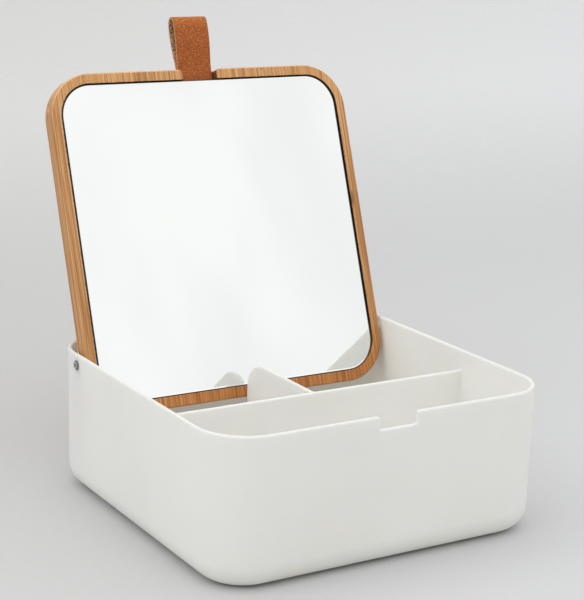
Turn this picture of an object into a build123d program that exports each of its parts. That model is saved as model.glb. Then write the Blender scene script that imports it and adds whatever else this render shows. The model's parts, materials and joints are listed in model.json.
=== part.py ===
"""Cosmetics box: a moulded tub with dividers and an inset bamboo lid that carries a mirror.

Frame: origin at the centre of the tub's underside, +X to the right, +Y to the hinge side, +Z up.
Every length is in millimetres. The lid is modelled open, resting against the divider fin.
"""

from build123d import *
from math import cos, radians, sin, tan
import os

# ---- driving dimensions ----------------------------------------------------------------------

# tub
BOX_SIDE = 200.0  # outside width and depth at the rim
BOX_HEIGHT = 80.0
CORNER_RADIUS = 28.0  # upright corners, at the rim
BASE_RADIUS = 13.5  # rounding between the walls and the underside
WALL = 2.2
WALL_DRAFT = 0.6  # degrees, the walls lean outwards to the rim
RIM_CHAMFER = 0.65  # both edges of the rim

# dividers
RIB_WALL = 2.0  # thickness at the top of a divider
RIB_DRAFT = 0.3  # degrees, on each face
RIB_DROP = 11.4  # from the rim down to the top of the dividers
RIB_ROOT_ROUND = 1.2  # moulded fillet where a divider meets a wall
RIB_TOP_ROUND = 0.7
CROSS_RIB_Y = -19.5  # middle of the divider that crosses the tub
FIN_CORNER = 16.0  # rounding of the fin's upper rear corner

# notch in the front wall for the strap
NOTCH_DEPTH = 6.9
NOTCH_ROUND = 1.5

# hinge
PIVOT_SETBACK = 34.1  # from the tub's rear face to the hinge axis
LID_OPEN = 110.0  # degrees between the closed and the open lid
LID_REST_GAP = 0.3  # closed lid above the dividers, open lid behind the fin

# lid board
LID_THICKNESS = 10.0
LID_CORNER = 26.0
LID_CHAMFER = 0.7  # all round both faces
LID_SIDE_GAP = 1.65  # to the wall's inner face, at the hinge
LID_REAR_GAP = 0.9
LID_FRONT_GAP = 2.1

# mirror
MIRROR_BAND = 6.0  # width of the wood left around the recess
MIRROR_HINGE_BAND = 6.4  # the same along the hinge edge
RECESS_CORNER = 19.3
MIRROR_THICKNESS = 3.0
MIRROR_ARRIS = 1.2
MIRROR_SIDE_GAP = 0.6
MIRROR_REAR_GAP = 0.2
MIRROR_FRONT_GAP = 0.45
MIRROR_SINK = 0.2  # glass below the wood's face
TAPE_THICKNESS = 0.8
TAPE_WIDTH = 20.0
TAPE_LENGTH = 130.0
TAPE_PITCH = 60.0
TAPE_COUNT = 3

# strap
STRAP_WIDTH = 22.0
STRAP_THICKNESS = 1.2
STRAP_PLY_GAP = 0.2  # between the plies where they lie together
STRAP_DEPTH = 5.5  # front ply below the wood's mirror-side face
STRAP_TAIL = 22.0  # length held inside the lid
STRAP_LEAD = 1.5  # from the lid's front edge to where the plies begin to part
STRAP_SWELL = 10.5  # from the lid's front edge to where they have parted half way
STRAP_BELLY = 23.0  # from the lid's front edge to the widest place
STRAP_REACH = 32.4  # from the lid's front edge to the end of the loop
STRAP_FOLD = 2.6  # length of the turn at the end of the loop
STRAP_FRONT_BULGE = 3.4
STRAP_BACK_BULGE = 2.4
STRAP_SIDE_GAP = 0.3
STRAP_GLUE_GAP = 0.1
SLOT_CORNER = 2.4  # all four corners, at the lid's front edge too

# pivot screws and washers
SHANK_DIAMETER = 3.0
SHANK_LENGTH = 16.0  # from the underside of the head
SHANK_CLEARANCE = 0.08  # radial, in the tub's wall and the washer
PILOT_CLEARANCE = 0.02  # radial, in the lid board
TIP_CHAMFER = 0.8
HEAD_DIAMETER = 5.4
HEAD_HEIGHT = 0.9
HEAD_CHAMFER = 0.5
HEAD_GAP = 0.15  # between the head and the wall
DRIVE_WIDTH = 0.9
DRIVE_SPAN = 3.0
DRIVE_DEPTH = 0.7
DRIVE_TAPER = 8.0  # degrees
WASHER_DIAMETER = 7.5
WASHER_PLAY = 0.25  # between the washer and the wall

# ---- places worked out from the driving dimensions -------------------------------------------

open_angle = radians(LID_OPEN)
rib_top = BOX_HEIGHT - RIB_DROP
rib_foot = RIB_WALL + 2 * rib_top * tan(radians(RIB_DRAFT))
pivot_y = BOX_SIDE / 2 - PIVOT_SETBACK
pivot_z = rib_top + LID_REST_GAP + LID_THICKNESS / 2
# Half of the tub's side at the hinge's height, to the outer and the inner face of the wall.
wall_outer = BOX_SIDE / 2 - (BOX_HEIGHT - pivot_z) * tan(radians(WALL_DRAFT))
wall_inner = wall_outer - WALL

lid_width = 2 * (wall_inner - LID_SIDE_GAP)
lid_rear = wall_inner - LID_REAR_GAP - pivot_y  # hinge axis to the lid's rear edge
lid_front = wall_inner - LID_FRONT_GAP + pivot_y  # hinge axis to the lid's front edge
lid_middle = (lid_front - lid_rear) / 2
lid_face = LID_THICKNESS / 2  # mirror-side face above the lid's middle plane

recess_width = lid_width - 2 * MIRROR_BAND
recess_length = lid_front + lid_rear - MIRROR_BAND - MIRROR_HINGE_BAND
recess_middle = MIRROR_HINGE_BAND + recess_length / 2 - lid_rear
recess_depth = MIRROR_SINK + MIRROR_THICKNESS + TAPE_THICKNESS
mirror_width = recess_width - 2 * MIRROR_SIDE_GAP
mirror_length = recess_length - MIRROR_REAR_GAP - MIRROR_FRONT_GAP
mirror_middle = MIRROR_HINGE_BAND + MIRROR_REAR_GAP + mirror_length / 2 - lid_rear
mirror_back = lid_face - MIRROR_SINK - MIRROR_THICKNESS

front_ply = lid_face - STRAP_DEPTH
back_ply = front_ply - 2 * STRAP_THICKNESS - STRAP_PLY_GAP
slot_width = STRAP_WIDTH + 2 * STRAP_SIDE_GAP
slot_length = STRAP_TAIL + SLOT_CORNER

# Lid frame: X across the lid, Y from the hinge to the front edge, Z out of the mirror's face.
lid_plane = Plane(
    origin=(0, pivot_y, pivot_z),
    x_dir=(1, 0, 0),
    z_dir=(0, -sin(open_angle), -cos(open_angle)),
)
lid_axis = Axis(lid_plane.origin, lid_plane.z_dir)
# The strap's side view: X towards the lid's front edge, Y out of the mirror's face.
strap_plane = Plane(origin=lid_plane.origin, x_dir=lid_plane.y_dir, z_dir=(1, 0, 0))

# The open lid leans back until the chamfer of its lower edge rests on the fin's rear edge.
lid_heel = lid_plane.from_local_coords((0, LID_CHAMFER - lid_rear, lid_face))
fin_rear = lid_heel.Y - LID_REST_GAP


os.makedirs("parts", exist_ok=True)


# ---- tub --------------------------------------------------------------------------------------


def tub_block(inset):
    """The tub's outer form as a solid, drawn in by inset on every side except the rim."""
    side = BOX_SIDE - 2 * inset
    with BuildPart() as block:
        with BuildSketch(Plane.XY.offset(BOX_HEIGHT)):
            RectangleRounded(side, side, CORNER_RADIUS - inset)
        extrude(amount=inset - BOX_HEIGHT, taper=WALL_DRAFT)
        fillet(block.faces().sort_by(Axis.Z)[0].edges(), BASE_RADIUS - inset)
    return block.part


# Dividers: one rib across the tub and one fin from it towards the hinge, ending in mid wall.
with BuildPart() as dividers:
    with BuildSketch(Plane.YZ.offset(-BOX_SIDE / 2)):
        with Locations((CROSS_RIB_Y, 0)):
            Trapezoid(rib_foot, rib_top, 90 - RIB_DRAFT, align=(Align.CENTER, Align.MIN))
    extrude(amount=BOX_SIDE)
    with BuildSketch(Plane.XZ.offset(-CROSS_RIB_Y)):
        Trapezoid(rib_foot, rib_top, 90 - RIB_DRAFT, align=(Align.CENTER, Align.MIN))
    extrude(amount=CROSS_RIB_Y - fin_rear)
    fin_corner = dividers.edges().filter_by(Axis.X).group_by(Axis.Z)[-1].sort_by(Axis.Y)[-1]
    fillet(fin_corner, FIN_CORNER)
    fillet(dividers.faces().filter_by(Axis.Z).sort_by(Axis.Z)[-1].edges(), RIB_TOP_ROUND)
    add(tub_block(WALL / 2), mode=Mode.INTERSECT)


def at_rib_root(edge):
    """Whether an edge runs where a divider meets a wall, the floor or the other divider."""
    middle = edge.center()
    on_cross_rib = abs(middle.Y - CROSS_RIB_Y) < RIB_WALL
    on_fin_foot = abs(middle.X) < RIB_WALL and middle.Z < WALL + RIB_ROOT_ROUND
    return middle.Z < rib_top - 2 * RIB_TOP_ROUND and (on_cross_rib or on_fin_foot)


with BuildPart() as box_shell:
    add(tub_block(0))
    add(tub_block(WALL), mode=Mode.SUBTRACT)
    add(dividers.part)
    fillet(box_shell.edges().filter_by(at_rib_root), RIB_ROOT_ROUND)

    # Notch for the strap, cut through the front wall only.
    with BuildSketch(Plane.XZ.offset(BOX_SIDE / 2 - CORNER_RADIUS)):
        with BuildLine():
            sides = FilletPolyline(
                (-slot_width, BOX_HEIGHT),
                (-slot_width / 2, BOX_HEIGHT),
                (-slot_width / 2, BOX_HEIGHT - NOTCH_DEPTH),
                (slot_width / 2, BOX_HEIGHT - NOTCH_DEPTH),
                (slot_width / 2, BOX_HEIGHT),
                (slot_width, BOX_HEIGHT),
                radius=NOTCH_ROUND,
            )
            Polyline(
                sides @ 1,
                (slot_width, BOX_HEIGHT + NOTCH_DEPTH),
                (-slot_width, BOX_HEIGHT + NOTCH_DEPTH),
                sides @ 0,
            )
        make_face()
    extrude(amount=CORNER_RADIUS, mode=Mode.SUBTRACT)

    # Break the rim's edges, the notch's too; the short edges across the wall are smooth already.
    rim_face = box_shell.faces().filter_by(Axis.Z).sort_by(Axis.Z)[-1]
    chamfer(rim_face.edges().filter_by(lambda edge: edge.length > 2 * WALL), RIM_CHAMFER)

    # Holes for the pivot screws, through both side walls.
    with BuildSketch(Plane.YZ):
        with Locations((pivot_y, pivot_z)):
            Circle(SHANK_DIAMETER / 2 + SHANK_CLEARANCE)
    extrude(amount=BOX_SIDE / 2, both=True, mode=Mode.SUBTRACT)

box_shell.part.label = "box_shell"
export_step(box_shell.part, "parts/box_shell.step")


# ---- lid board --------------------------------------------------------------------------------

with BuildPart() as lid_board:
    with BuildSketch(lid_plane.offset(-lid_face)):
        with Locations((0, lid_middle)):
            RectangleRounded(lid_width, lid_front + lid_rear, LID_CORNER)
    extrude(amount=LID_THICKNESS)
    chamfer(lid_board.faces().filter_by(lid_axis).edges(), LID_CHAMFER)

    # Recess for the mirror.
    with BuildSketch(lid_plane.offset(lid_face)):
        with Locations((0, recess_middle)):
            RectangleRounded(recess_width, recess_length, RECESS_CORNER)
    extrude(amount=-recess_depth, mode=Mode.SUBTRACT)

    # Slot for the strap, milled in from the front edge and run on under the mirror.
    with BuildSketch(lid_plane.offset(lid_face)):
        with BuildLine():
            sides = FilletPolyline(
                (-slot_width, lid_front),
                (-slot_width / 2, lid_front),
                (-slot_width / 2, lid_front - slot_length),
                (slot_width / 2, lid_front - slot_length),
                (slot_width / 2, lid_front),
                (slot_width, lid_front),
                radius=SLOT_CORNER,
            )
            Polyline(
                sides @ 1,
                (slot_width, lid_front + LID_THICKNESS),
                (-slot_width, lid_front + LID_THICKNESS),
                sides @ 0,
            )
        make_face()
    extrude(amount=back_ply - STRAP_GLUE_GAP - lid_face, mode=Mode.SUBTRACT)

    # Pilot holes for the pivot screws, one in each side edge.
    for side in (-1, 1):
        with BuildSketch(Plane.YZ.offset(side * lid_width / 2)):
            with Locations((pivot_y, pivot_z)):
                Circle(SHANK_DIAMETER / 2 + PILOT_CLEARANCE)
        extrude(amount=-side * (SHANK_LENGTH - wall_outer + lid_width / 2), mode=Mode.SUBTRACT)

lid_board.part.label = "lid_board"
export_step(lid_board.part, "parts/lid_board.step")


# ---- mirror and its tape ----------------------------------------------------------------------

with BuildPart() as mirror_glass:
    with BuildSketch(lid_plane.offset(mirror_back)):
        with Locations((0, mirror_middle)):
            RectangleRounded(mirror_width, mirror_length, RECESS_CORNER - MIRROR_SIDE_GAP)
    extrude(amount=MIRROR_THICKNESS)
    chamfer(mirror_glass.faces().sort_by(lid_axis)[-1].edges(), MIRROR_ARRIS)

mirror_glass.part.label = "mirror_glass"
export_step(mirror_glass.part, "parts/mirror_glass.step")

# Strips of foam tape between the recess floor and the glass, clear of the strap's slot.
with BuildPart() as mirror_tape:
    with BuildSketch(lid_plane.offset(mirror_back)):
        with Locations((0, mirror_middle - STRAP_TAIL / 2)):
            with GridLocations(TAPE_PITCH, 0, TAPE_COUNT, 1):
                Rectangle(TAPE_WIDTH, TAPE_LENGTH)
    extrude(amount=-TAPE_THICKNESS)

mirror_tape.part.label = "mirror_tape"
export_step(mirror_tape.part, "parts/mirror_tape.step")


# ---- strap ------------------------------------------------------------------------------------

# Outer face of the loop, from the front ply round the fold to the back ply: a chain of tangent
# arcs through points given as (distance beyond the lid's front edge, height in the lid frame).
fold_start = STRAP_REACH - STRAP_FOLD
loop_points = [
    (STRAP_LEAD, front_ply),
    (STRAP_SWELL, front_ply + STRAP_FRONT_BULGE / 2),
    (STRAP_BELLY, front_ply + STRAP_FRONT_BULGE),
    (fold_start, front_ply + STRAP_FRONT_BULGE / 2),
    (fold_start, back_ply - STRAP_BACK_BULGE / 2),
    (STRAP_BELLY, back_ply - STRAP_BACK_BULGE),
    (STRAP_SWELL, back_ply - STRAP_BACK_BULGE / 2),
    (STRAP_LEAD, back_ply),
]

with BuildPart() as leather_strap:
    with BuildSketch(strap_plane.offset(-STRAP_WIDTH / 2)):
        with BuildLine():
            tail = lid_front - STRAP_TAIL
            run = Line((tail, front_ply), (lid_front + STRAP_LEAD, front_ply))
            for beyond, height in loop_points[1:]:
                run = TangentArc(run @ 1, (lid_front + beyond, height), tangent=run % 1)
            Polyline(run @ 1, (tail, back_ply), (tail, front_ply))
        make_face()
        offset(amount=-STRAP_THICKNESS, mode=Mode.SUBTRACT)
        # Open the end, so that the strip's two tails lie side by side in the slot.
        with Locations((tail, (front_ply + back_ply) / 2)):
            Rectangle(STRAP_TAIL, STRAP_PLY_GAP, mode=Mode.SUBTRACT)
    extrude(amount=STRAP_WIDTH)

leather_strap.part.label = "leather_strap"
export_step(leather_strap.part, "parts/leather_strap.step")


# ---- pivot screws and washers -----------------------------------------------------------------


def pivot_screw(side):
    """Pan head screw whose smooth shank turns in the wall; side is -1 for left, 1 for right."""
    seat = Plane(
        origin=(side * (wall_outer + HEAD_GAP), pivot_y, pivot_z), x_dir=(0, 1, 0), z_dir=(side, 0, 0)
    )
    with BuildPart() as screw:
        with BuildSketch(seat):
            Circle(HEAD_DIAMETER / 2)
        extrude(amount=HEAD_HEIGHT)
        with BuildSketch(seat):
            Circle(SHANK_DIAMETER / 2)
        extrude(amount=-SHANK_LENGTH)
        rings = screw.edges().filter_by(GeomType.CIRCLE).sort_by(Axis(seat.origin, seat.z_dir))
        chamfer(rings[0], TIP_CHAMFER)
        chamfer(rings[-1], HEAD_CHAMFER)
        # Cross recess for the driver.
        with BuildSketch(seat.offset(HEAD_HEIGHT)):
            Rectangle(DRIVE_SPAN, DRIVE_WIDTH, rotation=45)
            Rectangle(DRIVE_WIDTH, DRIVE_SPAN, rotation=45)
        extrude(amount=-DRIVE_DEPTH, taper=DRIVE_TAPER, mode=Mode.SUBTRACT)
    return screw.part


def pivot_washer(side):
    """Plastic washer that keeps the lid's edge off the wall."""
    with BuildPart() as washer:
        with BuildSketch(Plane.YZ.offset(side * lid_width / 2)):
            with Locations((pivot_y, pivot_z)):
                Circle(WASHER_DIAMETER / 2)
                Circle(SHANK_DIAMETER / 2 + SHANK_CLEARANCE, mode=Mode.SUBTRACT)
        extrude(amount=side * (LID_SIDE_GAP - WASHER_PLAY))
    return washer.part


for name, side in (("left", -1), ("right", 1)):
    screw = pivot_screw(side)
    screw.label = f"pivot_screw_{name}"
    export_step(screw, f"parts/{screw.label}.step")
    washer = pivot_washer(side)
    washer.label = f"pivot_washer_{name}"
    export_step(washer, f"parts/{washer.label}.step")
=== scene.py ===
# %% [markdown]
# # A cosmetics box with a mirror in its lid
# The real object is a moulded white plastic tub, a bamboo board that turns on two small screws,
# a mirror glued into the board and a loop of leather to lift it by. The rigid pieces come from
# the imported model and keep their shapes. This script gives each one its finish, and models the
# leather loop afresh, because its grain side, its suede side and its cut rim all look different.

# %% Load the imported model
import json
import math

import bmesh
import bpy
from mathutils import Matrix, Vector


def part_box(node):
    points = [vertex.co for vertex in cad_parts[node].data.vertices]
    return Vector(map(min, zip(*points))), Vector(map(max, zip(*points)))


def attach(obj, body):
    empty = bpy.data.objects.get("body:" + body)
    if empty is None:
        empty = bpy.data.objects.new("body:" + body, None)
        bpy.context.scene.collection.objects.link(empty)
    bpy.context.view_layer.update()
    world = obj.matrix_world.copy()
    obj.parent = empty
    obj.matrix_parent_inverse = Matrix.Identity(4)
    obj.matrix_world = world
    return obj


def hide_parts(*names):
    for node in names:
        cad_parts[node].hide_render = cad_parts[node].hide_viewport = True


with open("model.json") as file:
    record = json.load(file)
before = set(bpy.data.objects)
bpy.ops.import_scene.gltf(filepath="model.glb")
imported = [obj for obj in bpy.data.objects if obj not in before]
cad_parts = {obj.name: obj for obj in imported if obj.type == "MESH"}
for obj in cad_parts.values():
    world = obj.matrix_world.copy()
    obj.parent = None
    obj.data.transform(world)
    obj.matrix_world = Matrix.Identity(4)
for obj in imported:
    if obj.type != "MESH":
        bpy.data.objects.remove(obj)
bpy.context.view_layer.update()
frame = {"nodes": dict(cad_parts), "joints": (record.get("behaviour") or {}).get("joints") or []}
nodes = frame["nodes"]

# %% [markdown]
# ## The lid's own frame
# The lid stands open and leans back, so nothing on it runs along the world's axes. Wood grain,
# the strap and the edges of the mirror are all simpler in the lid's own frame: across the lid,
# along it from the hinge to its front edge, and out of the mirror's face. The hinge joint says
# where that frame is, because it holds the axis and the angle that closes the lid.

# %% Axes of the lid
MM = 0.001
LID_THICKNESS = 10 * MM

hinge = frame["joints"][0]
pivot = Vector(hinge["pos_m"])
open_angle = math.radians(hinge["range_deg"][1])
lid_across = Vector((1, 0, 0))
lid_along = Vector((0, -math.cos(open_angle), math.sin(open_angle)))
lid_out = lid_across.cross(lid_along)
lid_frame = Matrix.Translation(pivot) @ Matrix((lid_across, lid_along, lid_out)).transposed().to_4x4()
lid_face = LID_THICKNESS / 2


def in_lid(node):
    """Lowest and highest corner of a node's mesh in the lid's frame."""
    points = [lid_frame.inverted() @ vertex.co for vertex in nodes[node].data.vertices]
    low = Vector(min(point[axis] for point in points) for axis in range(3))
    high = Vector(max(point[axis] for point in points) for axis in range(3))
    return low, high


board_low, board_high = in_lid("lid_board")
glass_low, glass_high = in_lid("mirror_glass")
print("the board runs from", tuple(board_low), "to", tuple(board_high), "in the lid's frame")

# %% [markdown]
# ## Writing materials as arithmetic
# A finish is a sum of simple patterns. Wiring them node by node hides the idea, so a value in a
# node tree gets Python's operators: 1 - mask adds a Math node and returns its result. Any other
# node comes from one method, which takes the node's type, its settings and its inputs.

# %% A value in a node tree


class Value:
    """A node's output that takes part in Python expressions."""

    def __init__(self, socket):
        self.socket = socket
        self.tree = socket.id_data

    def node(self, kind, settings=None, inputs=None, output=0):
        """Add a node to this value's tree and return one of its outputs."""
        return Value(add_node(self.tree, kind, settings, inputs).outputs[output])

    def math(self, operation, *numbers, clamp=False):
        settings = {"operation": operation, "use_clamp": clamp}
        return self.node("ShaderNodeMath", settings, dict(enumerate((self, *numbers))))

    def __add__(self, other):
        return self.math("ADD", other)

    def __sub__(self, other):
        return self.math("SUBTRACT", other)

    def __mul__(self, other):
        return self.math("MULTIPLY", other)

    def __rsub__(self, other):
        return self.node("ShaderNodeMath", {"operation": "SUBTRACT"}, {0: other, 1: self})

    __radd__ = __add__
    __rmul__ = __mul__

    def between(self, low, high):
        """0 below low, 1 above high and a smooth rise from one to the other."""
        inputs = {"Value": self, "From Min": low, "From Max": high}
        return self.node("ShaderNodeMapRange", {"interpolation_type": "SMOOTHSTEP"}, inputs)

    def mix(self, first, second, blend="MIX"):
        """The first colour where this value is 0 and the second, or their blend, where it is 1."""
        settings = {"data_type": "RGBA", "clamp_factor": True, "blend_type": blend}
        return self.node("ShaderNodeMix", settings, {0: self, 6: first, 7: second}, output=2)

    def dot(self, vector):
        inputs = {0: self, 1: vector}
        return self.node("ShaderNodeVectorMath", {"operation": "DOT_PRODUCT"}, inputs, output=1)

    def noise(self, scale, detail=2.0, roughness=0.5, distortion=0.0):
        inputs = {"Vector": self, "Scale": scale, "Detail": detail}
        inputs.update({"Roughness": roughness, "Distortion": distortion})
        return self.node("ShaderNodeTexNoise", None, inputs)


def add_node(tree, kind, settings=None, inputs=None):
    """Add a node: its settings first, then a number, colour or link for each input."""
    made = tree.nodes.new(kind)
    for name, setting in (settings or {}).items():
        setattr(made, name, setting)
    for name, value in (inputs or {}).items():
        if isinstance(value, Value):
            tree.links.new(value.socket, made.inputs[name])
        else:
            made.inputs[name].default_value = value
    return made


def new_material(name):
    """An empty material with its output, and the place on the surface as a value."""
    material = bpy.data.materials.new(name)
    material.use_nodes = True
    tree = material.node_tree
    tree.nodes.clear()
    place = Value(add_node(tree, "ShaderNodeTexCoord").outputs["Object"])
    return material, place


def finish_surface(material, **inputs):
    """Join a principled shader with these inputs to the material's output."""
    tree = material.node_tree
    names = {name.replace("_", " ").title().replace("Ior", "IOR"): value for name, value in inputs.items()}
    shader = add_node(tree, "ShaderNodeBsdfPrincipled", None, names)
    output = add_node(tree, "ShaderNodeOutputMaterial")
    tree.links.new(shader.outputs["BSDF"], output.inputs["Surface"])
    return material


def rounded_edges(place, radius):
    """Normals that make the sharp edges of a mesh look rounded."""
    return place.node("ShaderNodeBevel", {"samples": 6}, {"Radius": radius})


def bump(height, distance, strength=1.0, normal=None):
    """A normal that follows a height, in metres from its lowest to its highest."""
    inputs = {"Height": height, "Distance": distance, "Strength": strength}
    if normal is not None:
        inputs["Normal"] = normal
    return height.node("ShaderNodeBump", None, inputs)


def colour(red, green, blue):
    return (red, green, blue, 1.0)


print("the material helpers are ready")

# %% [markdown]
# ## White moulded plastic
# The tub is a satin polymer that lets a little light in, so shaded places glow softly and warmly: that is
# what subsurface scattering does. A spark-eroded mould leaves a very fine even grain, thick places shrink
# into slow waves, and handling leaves patches that shine a little more. Faces that look up are painted
# darker, as painted shade, and the surface's own normal finds them. None of these may read as a pattern, so
# each one is weak and they differ much in size.

# %% Plastic of the tub
GLOW_DEPTH = 3.5 * MM  # how far light travels under the surface


def moulded_plastic():
    material, place = new_material("moulded_plastic")
    clouds = place.noise(16, detail=3)
    grain = place.noise(2600, detail=2, roughness=0.7)
    waves = place.noise(22, detail=1)
    handled = place.noise(48, detail=5, roughness=0.65).between(0.48, 0.7)
    facing = Value(add_node(material.node_tree, "ShaderNodeNewGeometry").outputs["Normal"])
    # Painted shade: faces that look up are painted darker, in mottled patches.
    up_faces_painted_shade = facing.dot((0, 0, 1)).between(0.2, 0.9) * (clouds * 0.4 + 0.8)
    tint = clouds.between(0.3, 0.7).mix(colour(0.858, 0.857, 0.828), colour(0.878, 0.878, 0.852))
    tint = up_faces_painted_shade.mix(tint, colour(0.775, 0.77, 0.742))
    soft_edges = rounded_edges(place, 0.8 * MM)
    slow = bump(waves, 0.9 * MM, 0.5, soft_edges)
    normal = bump(grain, 0.03 * MM, 0.45, slow)
    roughness = 0.50 - handled * 0.07 + clouds * 0.05
    return finish_surface(
        material, base_color=tint, roughness=roughness, ior=1.49, normal=normal, specular_ior_level=0.2,
        subsurface_weight=1.0, subsurface_radius=(1.0, 0.93, 0.78), subsurface_scale=GLOW_DEPTH,
    )


nodes["box_shell"].data.materials.clear()
nodes["box_shell"].data.materials.append(moulded_plastic())
print("finished the tub")

# %% [markdown]
# ## Bamboo board
# The board is pressed from strips of bamboo that stand on edge, five or six millimetres wide.
# Each strip has its own tone. Along it run fibres as thin as a hair and darker streaks a millimetre or two
# apart, and once in a long while there is a knuckle, where the cane had a joint. The board is paler at its
# front end and darker at the hinge, and towards the right it is painted a little darker, as painted shade.
# All of it is worked out in the lid's frame and stretched along the grain.

# %% Where the grain runs
STRIP_WIDTH = 5.6 * MM
KNUCKLE_PITCH = 235 * MM
KNUCKLE_LENGTH = 10 * MM
FIRST_KNUCKLE = 77.5 * MM  # from the hinge, on the strips at the right edge
RIGHT_STRIPS = 14.5  # strips with a higher number lie at the right edge
LEFT_STRIPS = -15.5  # and those with a lower one at the left edge


def in_board(place):
    """Across the lid, along it from the hinge and out of its middle plane."""
    return (
        place.dot(lid_across),
        place.dot(lid_along) - pivot.dot(lid_along),
        place.dot(lid_out) - pivot.dot(lid_out),
    )


def stretched(board_place, fine, long, slide=0.0):
    """The place in the board, scaled by fine across the grain and by long along it."""
    across, along, out = board_place
    inputs = {"X": across * fine + slide, "Y": along * long, "Z": out * fine}
    return across.node("ShaderNodeCombineXYZ", None, inputs)


def random_number(seed):
    return seed.node("ShaderNodeTexWhiteNoise", {"noise_dimensions": "1D"}, {"W": seed})


def knuckles(board_place, number):
    """1 across each knuckle: at one place on the right, none on the left, scattered between."""
    along = board_place[1]
    on_right = number.between(RIGHT_STRIPS - 0.1, RIGHT_STRIPS + 0.1)
    on_left = 1 - number.between(LEFT_STRIPS - 0.1, LEFT_STRIPS + 0.1)
    scattered = random_number(number + 71.3) * (1 - on_right) * (1 - on_left)
    ragged = stretched(board_place, 420, 160).noise(1, detail=3) * 0.03
    turn = (along - FIRST_KNUCKLE) * (1 / KNUCKLE_PITCH) + scattered + on_left * 0.5 + ragged
    half = KNUCKLE_LENGTH / KNUCKLE_PITCH / 2
    from_middle = ((turn + 0.5).math("FRACT") - 0.515).math("ABSOLUTE")
    return 1 - from_middle.between(half * 0.3, half * 1.3)


print("the grain runs along", tuple(round(part, 3) for part in lid_along))

# %% [markdown]
# ## Outlines seen by a material
# Two things follow the outline of a rounded rectangle. A router cut the recess for the mirror and left its
# walls dark and a little torn. The narrow gap there is also painted darker, as painted shade, and together
# they show as an uneven black line round the glass. The walls of the slot for the strap are darkened the same
# way. And the chamfers of the outer edges are painted paler than the faces, as a painted highlight. The
# distance to such an outline is the usual one: past the straight sides a plain difference, and round a corner
# the length of a vector.

# %% Distance to an outline
SIDE_GAP = 0.6 * MM  # between the glass and the wood, at both sides
HINGE_GAP = 0.2 * MM  # and at its two ends
FRONT_GAP = 0.45 * MM
RECESS_CORNER = 19.3 * MM
BOARD_CORNER = 26 * MM
TORN_EDGE = 1.1 * MM
SLOT_HALF_WIDTH = 11.6 * MM
FRONT_END = 120 * MM  # from the hinge, where the slot and the paler wood begin


def outside_outline(board_place, half_width, rear, front, corner):
    """How far a place lies outside a rounded rectangle; negative inside it."""
    across, along, _ = board_place
    past_side = across.math("ABSOLUTE") - (half_width - corner)
    past_end = (along - (front + rear) / 2).math("ABSOLUTE") - ((front - rear) / 2 - corner)
    inputs = {"X": past_side.math("MAXIMUM", 0.0), "Y": past_end.math("MAXIMUM", 0.0)}
    past_corner = across.node("ShaderNodeCombineXYZ", None, inputs)
    length = across.node("ShaderNodeVectorMath", {"operation": "LENGTH"}, {0: past_corner}, output=1)
    return length + past_side.math("MAXIMUM", past_end).math("MINIMUM", 0.0) - corner


def char_and_gap_shade(place, board_place):
    """Two masks of char and painted shade: the recess's walls with its torn edge, and the slot's walls; 0 on
    the back.
    """
    across, along, out = board_place
    outside = outside_outline(
        board_place, glass_high.x + SIDE_GAP, glass_low.y - HINGE_GAP, glass_high.y + FRONT_GAP, RECESS_CORNER
    )
    torn = (place.noise(520, detail=3, roughness=0.65) - 0.52) * TORN_EDGE
    edge = 1 - (outside - torn).between(0.05 * MM, 0.2 * MM)
    below_face = (lid_face - out).between(0.02 * MM, 0.1 * MM)
    wall = (1 - outside.between(0.1 * MM, 0.2 * MM)) * below_face
    away_from_hinge = along.between(board_low.y + 6 * MM, board_low.y + 40 * MM)
    slot = 1 - across.math("ABSOLUTE").between(SLOT_HALF_WIDTH, SLOT_HALF_WIDTH + 0.6 * MM)
    in_slot = along.between(FRONT_END, FRONT_END + 10 * MM)
    slot = slot * (lid_face - out).between(0.3 * MM, 1.2 * MM) * in_slot
    off_back = (lid_face + out).between(0.4 * MM, 0.8 * MM)
    return edge.math("MAXIMUM", wall) * away_from_hinge * off_back, slot * off_back


def chamfer_highlight_mask(board_place):
    """1 on the chamfers round both faces of the board."""
    outside = outside_outline(board_place, board_high.x, board_low.y, board_high.y, BOARD_CORNER)
    near_face = board_place[2].math("ABSOLUTE").between(lid_face - 0.7 * MM, lid_face - 0.5 * MM)
    return outside.between(-0.7 * MM, -0.5 * MM) * near_face


print("the recess has corners of", round(RECESS_CORNER / MM, 1), "mm")

# %% Bamboo of the lid


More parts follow.
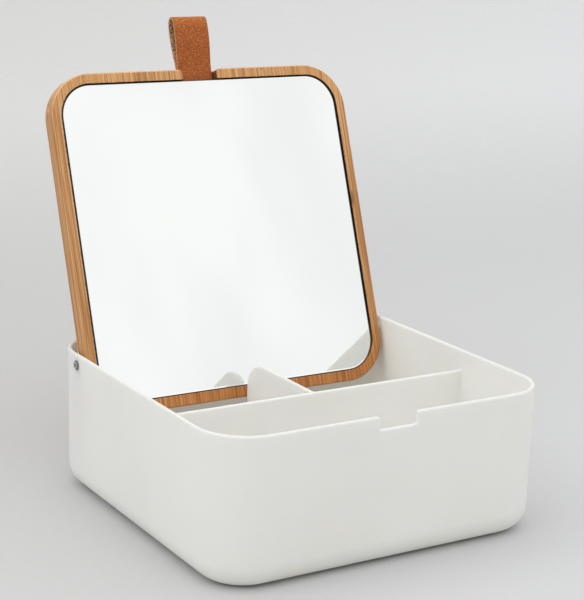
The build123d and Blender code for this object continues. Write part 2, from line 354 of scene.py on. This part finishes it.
def bamboo():
    material, place = new_material("bamboo")
    board_place = in_board(place)
    across, along, _ = board_place
    bend = stretched(board_place, 20, 3).noise(1, detail=1) * 0.5
    strip = across * (1 / STRIP_WIDTH) + bend
    number = strip.math("FLOOR")
    chance = random_number(number)
    joint = strip.math("FRACT").math("PINGPONG", 0.5).between(0.0, 0.03)
    dark_joint = (1 - joint) * random_number(number + 23.7).between(0.6, 0.95) * 0.75

    slide = chance * 9
    hairs = stretched(board_place, 1500, 16, slide).noise(1, detail=2, roughness=0.6)
    streaks = stretched(board_place, 640, 10, slide).noise(1, detail=2, roughness=0.6)
    figure = stretched(board_place, 180, 3, slide).noise(1, detail=2)
    knuckle = knuckles(board_place, number)
    painted_shading_to_right = across.between(-100 * MM, 100 * MM)
    front_end = along.between(FRONT_END, FRONT_END + 40 * MM)
    hinge_end = 1 - along.between(board_low.y + 5 * MM, board_low.y + 34 * MM)

    tone = streaks.between(0.37, 0.63) * 0.54 + figure.between(0.3, 0.7) * 0.26 + chance * 0.18
    # Painted shade: the board is painted a little darker towards the right. It is paler towards its front
    # end.
    tone = tone + 0.03 - painted_shading_to_right * 0.04 + front_end * 0.30
    wood = tone.mix(colour(0.41, 0.164, 0.044), colour(0.74, 0.385, 0.145))
    wood = (hairs.between(0.52, 0.66) * 0.62).mix(wood, colour(0.30, 0.112, 0.030))
    wood = ((1 - hairs).between(0.52, 0.66) * 0.70).mix(wood, colour(0.90, 0.54, 0.25))
    wood = (knuckle * streaks.between(0.42, 0.56) * 0.8).mix(wood, colour(0.24, 0.085, 0.028))
    wood = dark_joint.mix(wood, colour(0.20, 0.072, 0.022))
    wood = hinge_end.mix(wood, colour(0.86, 0.68, 0.48), blend="MULTIPLY")
    # Painted highlight: the chamfers round the board are painted paler, more so at its front end.
    wood = (chamfer_highlight_mask(board_place) * (front_end * 0.35 + 0.1)).mix(wood, colour(0.92, 0.72, 0.50))
    recess_char_and_shade, slot_char_and_shade = char_and_gap_shade(place, board_place)
    # Char and painted shade: the slot's walls and the recess's walls are darkened, partly as char from the
    # cutter and partly as painted shade of the narrow gaps.
    wood = (slot_char_and_shade * 0.85).mix(wood, colour(0.09, 0.032, 0.012))
    wood = (recess_char_and_shade * 0.96).mix(wood, colour(0.012, 0.008, 0.006))

    height = streaks * 0.5 + hairs * 0.5 - knuckle * 0.4 - dark_joint * 0.6
    normal = bump(height, 0.10 * MM, 0.4, rounded_edges(place, 0.5 * MM))
    roughness = 0.42 + hairs * 0.12 + recess_char_and_shade * 0.3
    return finish_surface(
        material, base_color=wood, roughness=roughness, ior=1.5, normal=normal, specular_ior_level=0.35,
        coat_weight=0.05, coat_roughness=0.3,
    )


nodes["lid_board"].data.materials.clear()
nodes["lid_board"].data.materials.append(bamboo())
print("finished the board")

# %% [markdown]
# ## Mirror and the tape behind it
# A glass mirror is silvered at its back and has a narrow polished slope round its face. The face can be a
# plain metal with almost no roughness. The slope is a little duller; on the right it turns away from the
# viewer, and there it is painted dark, as a painted reflection of the dark wood beside it. The ground rim and
# the sides are almost black.
# The depth below the face tells these three apart. The silver lies flat behind the slope, so the
# slope is a prism that turns the view inwards, and the same depth used as a bump does just that.

# %% Mirror and tape
GLASS_CORNER_AT = glass_high.x - 18.7 * MM  # across the lid, where the rounded corners begin
SLOPE_DEPTH = 0.70 * MM  # below the face, where the slope ends and the ground rim begins
PRISM_TURN = 2.0  # how strongly the slope turns a reflection


def mirror():
    material, place = new_material("mirror")
    out = place.dot(lid_out) - pivot.dot(lid_out)
    below_face = glass_high.z - out
    across = place.dot(lid_across)
    slope = below_face.between(0.01 * MM, 0.03 * MM)
    left_side = 1 - across.between(-glass_high.x, -GLASS_CORNER_AT)
    rough_rim = (below_face + left_side * 0.25 * MM).between(SLOPE_DEPTH, SLOPE_DEPTH + 0.1 * MM)
    smears = place.noise(26, detail=4, roughness=0.6).between(0.5, 0.75)
    # Painted reflection: the slope on the right is painted dark grey-blue.
    painted_shading_to_right = across.between(GLASS_CORNER_AT + 9 * MM, GLASS_CORNER_AT + 16 * MM)
    slope_painted_reflection = painted_shading_to_right.mix(colour(0.93, 0.95, 0.945), colour(0.30, 0.335, 0.37))
    silver = slope.mix(colour(0.895, 0.91, 0.90), slope_painted_reflection)
    silver = rough_rim.mix(silver, colour(0.030, 0.034, 0.034))
    roughness = 0.006 + smears * 0.012 + slope * 0.05 + rough_rim * 0.3
    metallic = 1 - rough_rim * 0.6
    turned = bump(below_face, PRISM_TURN)
    return finish_surface(material, base_color=silver, roughness=roughness, metallic=metallic, normal=turned)


def foam_tape():
    material, place = new_material("foam_tape")
    pores = place.node("ShaderNodeTexVoronoi", None, {"Vector": place, "Scale": 2400.0})
    shade = pores.between(0.1, 0.5).mix(colour(0.012, 0.012, 0.013), colour(0.035, 0.035, 0.037))
    normal = bump(pores, 0.15 * MM, 0.6)
    return finish_surface(material, base_color=shade, roughness=0.85, normal=normal)


for node, finish in (("mirror_glass", mirror()), ("mirror_tape", foam_tape())):
    nodes[node].data.materials.clear()
    nodes[node].data.materials.append(finish)
print("finished the mirror and its tape")

# %% [markdown]
# ## Leather loop
# The pull is one strip of leather, folded on itself. Both tails lie together in a slot in the
# board, and the loop springs open above it, widest near the fold. A strip like this could be a
# curve with a flat bevel, but then its cut edges and its suede side would share one finish. So
# its middle line is drawn as a smooth curve, a bmesh extrudes that line to the strip's width, and
# Solidify gives the thickness together with a separate material for the inner side and the rim.

# %% Middle line of the loop
STRAP_WIDTH = 22 * MM
STRAP_THICKNESS = 1.2 * MM
STRAP_TAIL = 21.8 * MM  # length held in the board
FRONT_PLY = -1.1 * MM  # middle of each ply, out of the board's middle plane
BACK_PLY = -2.5 * MM
LOOP = [  # (beyond the board's front edge, out of its middle plane)
    (-STRAP_TAIL, FRONT_PLY),
    (-8 * MM, FRONT_PLY),
    (1.5 * MM, FRONT_PLY),
    (8 * MM, 0.1 * MM),
    (16 * MM, 1.6 * MM),
    (24 * MM, 2.4 * MM),
    (30 * MM, 2.4 * MM),
    (32 * MM, 0.9 * MM),
    (31.9 * MM, -1.5 * MM),
    (30 * MM, -3.4 * MM),
    (24 * MM, -4.7 * MM),
    (16 * MM, -4.8 * MM),
    (8 * MM, -3.7 * MM),
    (1.5 * MM, BACK_PLY),
    (-8 * MM, BACK_PLY),
    (-STRAP_TAIL, BACK_PLY),
]


def smooth_line(points, resolution):
    """Points along a smooth curve that is pulled towards the given points of the lid's frame."""
    curve = bpy.data.curves.new("guide", "CURVE")
    curve.dimensions = "3D"
    curve.resolution_u = resolution
    spline = curve.splines.new("NURBS")
    spline.points.add(len(points) - 1)
    for control, (beyond, out) in zip(spline.points, points):
        control.co = (0, board_high.y + beyond, out, 1)
    spline.order_u = 3
    spline.use_endpoint_u = True
    holder = bpy.data.objects.new("guide", curve)
    line = [vertex.co.copy() for vertex in bpy.data.meshes.new_from_object(holder).vertices]
    bpy.data.objects.remove(holder)
    return line


loop_line = smooth_line(LOOP, resolution=8)
loop_length = sum((b - a).length for a, b in zip(loop_line, loop_line[1:]))
print("the strip is", round(loop_length / MM, 1), "mm long, drawn with", len(loop_line), "points")

# %% [markdown]
# ## The strip's mesh
# The line becomes a row of edges, which is extruded across the width and cut into narrow bands.
# A UV map holds each point's distance along and across the strip in metres, so that the grain has
# its real scale and turns round the fold with the leather. A slow ripple keeps the cut edges
# from being ruler straight.

# %% Strip
STRAP_BANDS = 14
EDGE_WANDER = 0.12 * MM
WANDER_TURNS = 160  # radians for each metre of the strip

strip = bmesh.new()
row = [strip.verts.new(point - Vector((STRAP_WIDTH / 2, 0, 0))) for point in loop_line]
first_edges = [strip.edges.new(pair) for pair in zip(row, row[1:])]
across_strip = bmesh.ops.extrude_edge_only(strip, edges=first_edges)["geom"]
far_row = [item for item in across_strip if isinstance(item, bmesh.types.BMVert)]
bmesh.ops.translate(strip, verts=far_row, vec=(STRAP_WIDTH, 0, 0))
rungs = [edge for edge in strip.edges if abs(edge.verts[0].co.x - edge.verts[1].co.x) > STRAP_WIDTH / 2]
bmesh.ops.subdivide_edges(strip, edges=rungs, cuts=STRAP_BANDS - 1)

travelled = {}
distance = 0.0
for start, end in zip([loop_line[0], *loop_line], loop_line):
    distance += (end - start).length
    travelled[(round(end.y, 7), round(end.z, 7))] = distance
uv_layer = strip.loops.layers.uv.new("leather")
for face in strip.faces:
    for corner in face.loops:
        at = corner.vert.co
        corner[uv_layer].uv = (travelled[(round(at.y, 7), round(at.z, 7))], at.x)
for vertex in strip.verts:
    share = 2 * vertex.co.x / STRAP_WIDTH
    along_strip = travelled[(round(vertex.co.y, 7), round(vertex.co.z, 7))]
    vertex.co.x += EDGE_WANDER * share * math.sin(along_strip * WANDER_TURNS + share)
bmesh.ops.recalc_face_normals(strip, faces=strip.faces)
foremost = max(strip.faces, key=lambda face: face.calc_center_median().z)
if foremost.normal.z < 0:
    bmesh.ops.reverse_faces(strip, faces=strip.faces)
bmesh.ops.transform(strip, matrix=lid_frame, verts=strip.verts)
strap_mesh = bpy.data.meshes.new("pull_loop")
strip.to_mesh(strap_mesh)
strip.free()
strap_mesh.shade_smooth()
strap = bpy.data.objects.new("pull_loop", strap_mesh)
bpy.context.scene.collection.objects.link(strap)

thicken = strap.modifiers.new("thickness", "SOLIDIFY")
thicken.thickness = STRAP_THICKNESS
thicken.offset = 0
thicken.use_even_offset = True
thicken.material_offset = 1
thicken.material_offset_rim = 2
soften = strap.modifiers.new("soft_edges", "BEVEL")
soften.width = 0.22 * MM
soften.segments = 3
soften.limit_method = "ANGLE"
soften.angle_limit = math.radians(50)
print("the strip has", len(strap_mesh.polygons), "faces before it gets its thickness")

# %% [markdown]
# ## Leather
# The grain side is pebbled: small round islands with fine creases between them, glossy on top and dull in the
# creases, which are painted darker as painted shade. Wrinkles a little under a millimetre apart run over the
# islands, painted dark where they sink, as painted shade, and orange where they rise, as a painted highlight.
# The fold is lighter because it is stretched. The inner side is suede, short fibres that are mottled from
# dark brown to beige, and the cut rim is pale and dry. The grain is read from the strip's own UV map, which
# is in metres.

# %% Leather grain, suede and cut rim
FOLD_AT = loop_length / 2


def strip_place(material):
    """The UV map in metres as a value."""
    return Value(add_node(material.node_tree, "ShaderNodeUVMap", {"uv_map": "leather"}).outputs["UV"])


def leather_grain():
    material, _ = new_material("leather_grain")
    place = strip_place(material)
    along = place.dot((1, 0, 0))
    wobble = place.noise(700, detail=2)
    moved = place.node(
        "ShaderNodeVectorMath", {"operation": "MULTIPLY_ADD"},
        {0: place, 1: (1.0, 0.55, 1.0), 2: wobble.node("ShaderNodeCombineXYZ", None, {"X": wobble * 0.0012})},
    )
    crease = moved.node(
        "ShaderNodeTexVoronoi", {"feature": "DISTANCE_TO_EDGE"}, {"Vector": moved, "Scale": 1050.0}
    ).between(0.0, 0.25)
    pores = place.noise(3800, detail=2)
    wrinkles = moved.noise(1350, detail=2, roughness=0.7)
    clouds = place.noise(130, detail=4, roughness=0.6)
    fold = 1 - (along - FOLD_AT).math("ABSOLUTE").between(2 * MM, 11 * MM)
    tan = clouds.between(0.15, 0.85).mix(colour(0.41, 0.095, 0.016), colour(0.54, 0.148, 0.028))
    tan = (fold * 0.65).mix(tan, colour(0.66, 0.22, 0.040))
    # Painted shade and highlight: the creases and the sinking wrinkles are painted dark, and the rising
    # wrinkles orange.
    tan = ((1 - crease) * 0.3).mix(tan, colour(0.19, 0.040, 0.008))
    tan = (wrinkles.between(0.50, 0.60) * 0.55).mix(tan, colour(0.22, 0.042, 0.006))
    tan = ((1 - wrinkles).between(0.52, 0.62) * 0.40).mix(tan, colour(0.84, 0.30, 0.075))
    normal = bump(crease * 0.4 + pores * 0.2 - wrinkles * 0.4, 0.2 * MM, 0.8)
    roughness = 0.56 - crease * 0.12 + clouds * 0.08
    return finish_surface(
        material, base_color=tan, roughness=roughness, ior=1.46, normal=normal, specular_ior_level=0.32
    )


def leather_suede():
    material, _ = new_material("leather_suede")
    place = strip_place(material)
    tufts = place.noise(760, detail=4, roughness=0.75)
    fibres = place.noise(3200, detail=2, roughness=0.8)
    nap = tufts * 0.7 + fibres * 0.3
    fawn = nap.between(0.44, 0.56).mix(colour(0.11, 0.036, 0.011), colour(0.90, 0.55, 0.31))
    normal = bump(nap, 0.3 * MM, 0.8)
    return finish_surface(
        material, base_color=fawn, roughness=0.95, normal=normal, sheen_weight=0.25, specular_ior_level=0.15
    )


def leather_rim():
    material, place = new_material("leather_rim")
    layers = place.noise(1500, detail=3, roughness=0.7)
    pale = layers.between(0.3, 0.7).mix(colour(0.42, 0.18, 0.075), colour(0.74, 0.45, 0.25))
    normal = bump(layers, 0.12 * MM, 0.6)
    return finish_surface(material, base_color=pale, roughness=0.85, normal=normal, specular_ior_level=0.2)


for finish in (leather_grain(), leather_suede(), leather_rim()):
    strap_mesh.materials.append(finish)
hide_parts("leather_strap")
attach(strap, "lid")
print("finished the leather loop")

# %% [markdown]
# ## Pivot screws and washers
# Two pan head screws pass through the tub's walls into the board, and a nylon washer keeps the wood off each
# wall. The screws are plated and turned, so their heads show fine rings round the screw's own axis. The
# middle of a head is bright. Its sloping edge is painted dark, as a painted reflection, and the recess for
# the driver is painted near black, as painted shade.

# %% Screws and washers
RECESS_REACH = 1.9 * MM  # radius that the driver's cross stays within
PAINTED_DARK_EDGE_RADIUS = 2.0 * MM
RING_RADIAN = 0.16 * MM  # along the radius, for one radian of the rings' wave


def screw_steel():
    material, place = new_material("screw_steel")
    height = place.dot((0, 0, 1)) - pivot.z
    depth_y = place.dot((0, 1, 0)) - pivot.y
    radius = (height * height + depth_y * depth_y).math("SQRT")
    rings = (radius * (1 / RING_RADIAN) + place.noise(900) * 0.5).math("SINE") * 0.5 + 0.5
    outward = place.dot((1, 0, 0)).math("ABSOLUTE")
    head_face = -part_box("pivot_screw_left")[0].x
    below_face = (head_face - outward).between(0.05 * MM, 0.3 * MM)
    # Painted shade and painted reflection: the recess for the driver is painted near black, and the sloping
    # edge of the head is painted dark.
    recess_painted_shade = below_face * (1 - radius.between(RECESS_REACH, RECESS_REACH + 0.1 * MM))
    edge_painted_dark = radius.between(PAINTED_DARK_EDGE_RADIUS, PAINTED_DARK_EDGE_RADIUS + 0.4 * MM)
    tint = edge_painted_dark.mix(colour(0.62, 0.62, 0.60), colour(0.17, 0.17, 0.165))
    tint = recess_painted_shade.mix(tint, colour(0.012, 0.012, 0.012))
    normal = bump(rings, 0.01 * MM, 0.5, rounded_edges(place, 0.25 * MM))
    return finish_surface(
        material, base_color=tint, metallic=1.0, roughness=0.27 + rings * 0.06 + recess_painted_shade * 0.3, normal=normal
    )


def washer_nylon():
    material, place = new_material("washer_nylon")
    milky = place.noise(500, detail=2)
    tint = milky.mix(colour(0.70, 0.69, 0.64), colour(0.80, 0.79, 0.75))
    return finish_surface(material, base_color=tint, roughness=0.42 + milky * 0.1)


steel = screw_steel()
nylon = washer_nylon()
for side in ("left", "right"):
    for node, finish in ((f"pivot_screw_{side}", steel), (f"pivot_washer_{side}", nylon)):
        nodes[node].data.materials.clear()
        nodes[node].data.materials.append(finish)
print("finished the screws and washers")

# %% [markdown]
# ## Camera
# The view is from the front left, a little above the box, through a long lens, as for a product
# on a table. The camera stands on a sphere round a point in the box: an azimuth and an elevation
# turn it, a slight roll tips the horizon and the shift moves the frame without turning the view.

# %% Camera
VIEW_AZIMUTH = math.radians(-31.25)
VIEW_ELEVATION = math.radians(12.68)
VIEW_ROLL = math.radians(1.53)
VIEW_DISTANCE = 0.9003
VIEW_POINT = Vector((-0.0039, 0, 0.1391))
VIEW_LENS = 100.87  # millimetres
VIEW_SHIFT = -0.071

back = Vector(
    (
        math.sin(VIEW_AZIMUTH) * math.cos(VIEW_ELEVATION),
        -math.cos(VIEW_AZIMUTH) * math.cos(VIEW_ELEVATION),
        math.sin(VIEW_ELEVATION),
    )
)
camera = bpy.data.objects.new("camera", bpy.data.cameras.new("camera"))
camera.data.lens = VIEW_LENS
camera.data.shift_y = VIEW_SHIFT
camera.data.clip_start = 0.05
camera.matrix_world = (
    Matrix.Translation(VIEW_POINT + back * VIEW_DISTANCE)
    @ back.to_track_quat("Z", "Y").to_matrix().to_4x4()
    @ Matrix.Rotation(VIEW_ROLL, 4, "Z")
)
bpy.context.scene.collection.objects.link(camera)
bpy.context.scene.camera = camera
print("the camera stands at", tuple(round(value, 4) for value in camera.location))

# %% [markdown]
# ## Studio
# The box stands on a paper sweep: a floor that curves up into a wall, so that no line shows behind it. A few
# vertices make its section, a bevel rounds the bend and an extrusion gives the width, enough for the paper to
# fill the view from every side. It is a pale grey, faintly mottled by its pulp, and it is painted lighter
# towards the right and up the bend, as painted light.

# %% Paper sweep
SWEEP_BACK = 1.1
SWEEP_FRONT = -8.0
SWEEP_HEIGHT = 1.6
SWEEP_WIDTH = 16.0
SWEEP_BEND = 0.7
VIEW_RIGHT = (0.84, -0.51, 0)  # along the floor, to the right in the camera's view


def paper():
    material, place = new_material("paper")
    # Painted light: the paper is painted lighter towards the right and up the bend.
    painted_shading_to_right = (place.dot(VIEW_RIGHT) + 0.2).between(-0.5, 0.75)
    near = painted_shading_to_right.mix(colour(0.545, 0.548, 0.538), colour(0.62, 0.625, 0.63))
    far = painted_shading_to_right.mix(colour(0.705, 0.70, 0.69), colour(0.825, 0.83, 0.84))
    grey = place.dot((0, 0, 1)).between(-0.03, 0.13).mix(near, far)
    pulp = place.noise(260, detail=4, roughness=0.7)
    grey = (pulp.between(0.35, 0.65) * 0.035).mix(grey, colour(0.30, 0.30, 0.29))
    return finish_surface(material, base_color=grey, roughness=0.9, normal=bump(pulp, 0.08 * MM, 0.3))


sweep = bmesh.new()
corners = [(SWEEP_FRONT, 0), (SWEEP_BACK, 0), (SWEEP_BACK, SWEEP_HEIGHT)]
section = [sweep.verts.new((-SWEEP_WIDTH / 2, y, z)) for y, z in corners]
edges = [sweep.edges.new(pair) for pair in zip(section, section[1:])]
bmesh.ops.bevel(
    sweep, geom=[section[1]], offset=SWEEP_BEND, affect="VERTICES", segments=24, profile=0.5, material=-1
)
sides = bmesh.ops.extrude_edge_only(sweep, edges=list(sweep.edges))["geom"]
moved = [item for item in sides if isinstance(item, bmesh.types.BMVert)]
bmesh.ops.translate(sweep, verts=moved, vec=(SWEEP_WIDTH, 0, 0))
bmesh.ops.recalc_face_normals(sweep, faces=sweep.faces)
sweep_mesh = bpy.data.meshes.new("paper_sweep")
sweep.to_mesh(sweep_mesh)
sweep.free()
sweep_mesh.shade_smooth()
sweep_mesh.materials.append(paper())
backdrop = bpy.data.objects.new("paper_sweep", sweep_mesh)
bpy.context.scene.collection.objects.link(backdrop)
print("the sweep has", len(sweep_mesh.polygons), "faces")

# %% [markdown]
# ## Light
# A white room lights the box from all sides, most of all from its ceiling, which is what makes
# the inside of the tub brighter than its front. Four large lamps add a gentle shading. The mirror
# looks out of the front of the set, so what it shows is the room: nearly white, with faint
# upright bands like folds in a curtain. Only the camera and reflections see those bands, and
# every other ray finds the plain light.

# %% Room and lamps
WALL_LIGHT = 0.24
CEILING_LIGHT = 1.10
LAMP_SIZE = 1.2
BOX_MIDDLE = Vector((0, 0, 0.08))


def room():
    world = bpy.data.worlds.new("room")
    bpy.context.scene.world = world
    world.use_nodes = True
    tree = world.node_tree
    tree.nodes.clear()
    direction = Value(add_node(tree, "ShaderNodeTexCoord").outputs["Generated"])
    squeezed = direction.node(
        "ShaderNodeVectorMath", {"operation": "MULTIPLY"}, {0: direction, 1: (9.0, 9.0, 0.9)}
    )
    bands = squeezed.noise(1.6, detail=2).between(0.4, 0.7)
    curtain = bands.mix(colour(1.04, 1.05, 1.04), colour(0.96, 0.97, 0.965))
    rays = add_node(tree, "ShaderNodeLightPath")
    sharp = Value(rays.outputs["Is Camera Ray"]) + Value(rays.outputs["Is Glossy Ray"])
    height = direction.dot((0, 0, 1)).between(0.05, 0.9)
    strength = height * (CEILING_LIGHT - WALL_LIGHT) + WALL_LIGHT
    light = add_node(tree, "ShaderNodeBackground", None, {"Color": colour(1, 1, 1), "Strength": strength})
    seen = add_node(tree, "ShaderNodeBackground", None, {"Color": curtain, "Strength": 1.0})
    either = add_node(tree, "ShaderNodeMixShader", None, {"Fac": sharp.math("MINIMUM", 1.0)})
    tree.links.new(light.outputs[0], either.inputs[1])
    tree.links.new(seen.outputs[0], either.inputs[2])
    output = add_node(tree, "ShaderNodeOutputWorld")
    tree.links.new(either.outputs[0], output.inputs["Surface"])


def lamp(name, place, watts):
    """A square area lamp that shines at the middle of the box."""
    data = bpy.data.lights.new(name, "AREA")
    data.size = LAMP_SIZE
    data.energy = watts
    holder = bpy.data.objects.new(name, data)
    holder.location = place
    holder.rotation_euler = (BOX_MIDDLE - Vector(place)).to_track_quat("-Z", "Y").to_euler()
    bpy.context.scene.collection.objects.link(holder)


room()
lamp("left", (-1.3, -0.1, 1.1), watts=4.4)
lamp("front", (-0.1, -1.2, 1.6), watts=4.0)
lamp("back", (-0.3, 0.7, 1.7), watts=3.4)
lamp("right", (1.3, -0.3, 1.0), watts=2.2)
bpy.context.scene.view_settings.view_transform = "Standard"
print("the room and four lamps are lit")
